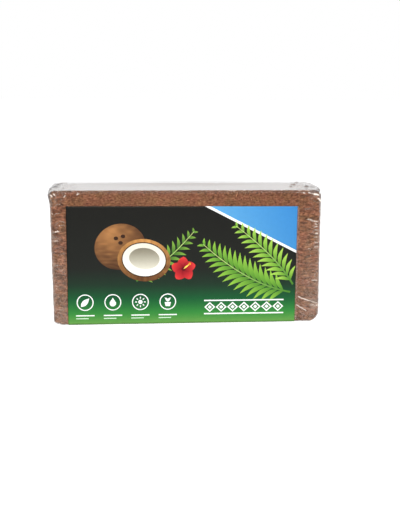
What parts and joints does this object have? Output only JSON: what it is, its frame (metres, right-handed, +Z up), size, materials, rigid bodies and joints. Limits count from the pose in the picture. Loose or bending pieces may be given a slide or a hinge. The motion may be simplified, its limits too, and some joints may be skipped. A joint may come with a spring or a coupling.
{
  "type": "coconut coir bale",
  "caption": "Pressed rectangular block of coconut coir with a printed paper wrap round its lower part, sealed in a clear shrink film, standing on one long narrow side.",
  "frame": {"origin": "on the surface it stands on, under the middle of the pack's box", "axes": "+X along the length, to the viewer's right when the printed front is faced; +Y from the printed front to the back; +Z up"},
  "size_m": [0.2099, 0.0584, 0.104],
  "materials": {
    "coir": "matt, pressed granular fibre",
    "paper": "smooth coated paper, printed",
    "film": "clear, glossy, wrinkled at the ends"
  },
  "bodies": {
    "root": {"coir_brick": "coir", "paper_wrap": "paper", "shrink_film": "film"}
  },
  "joints": []
}
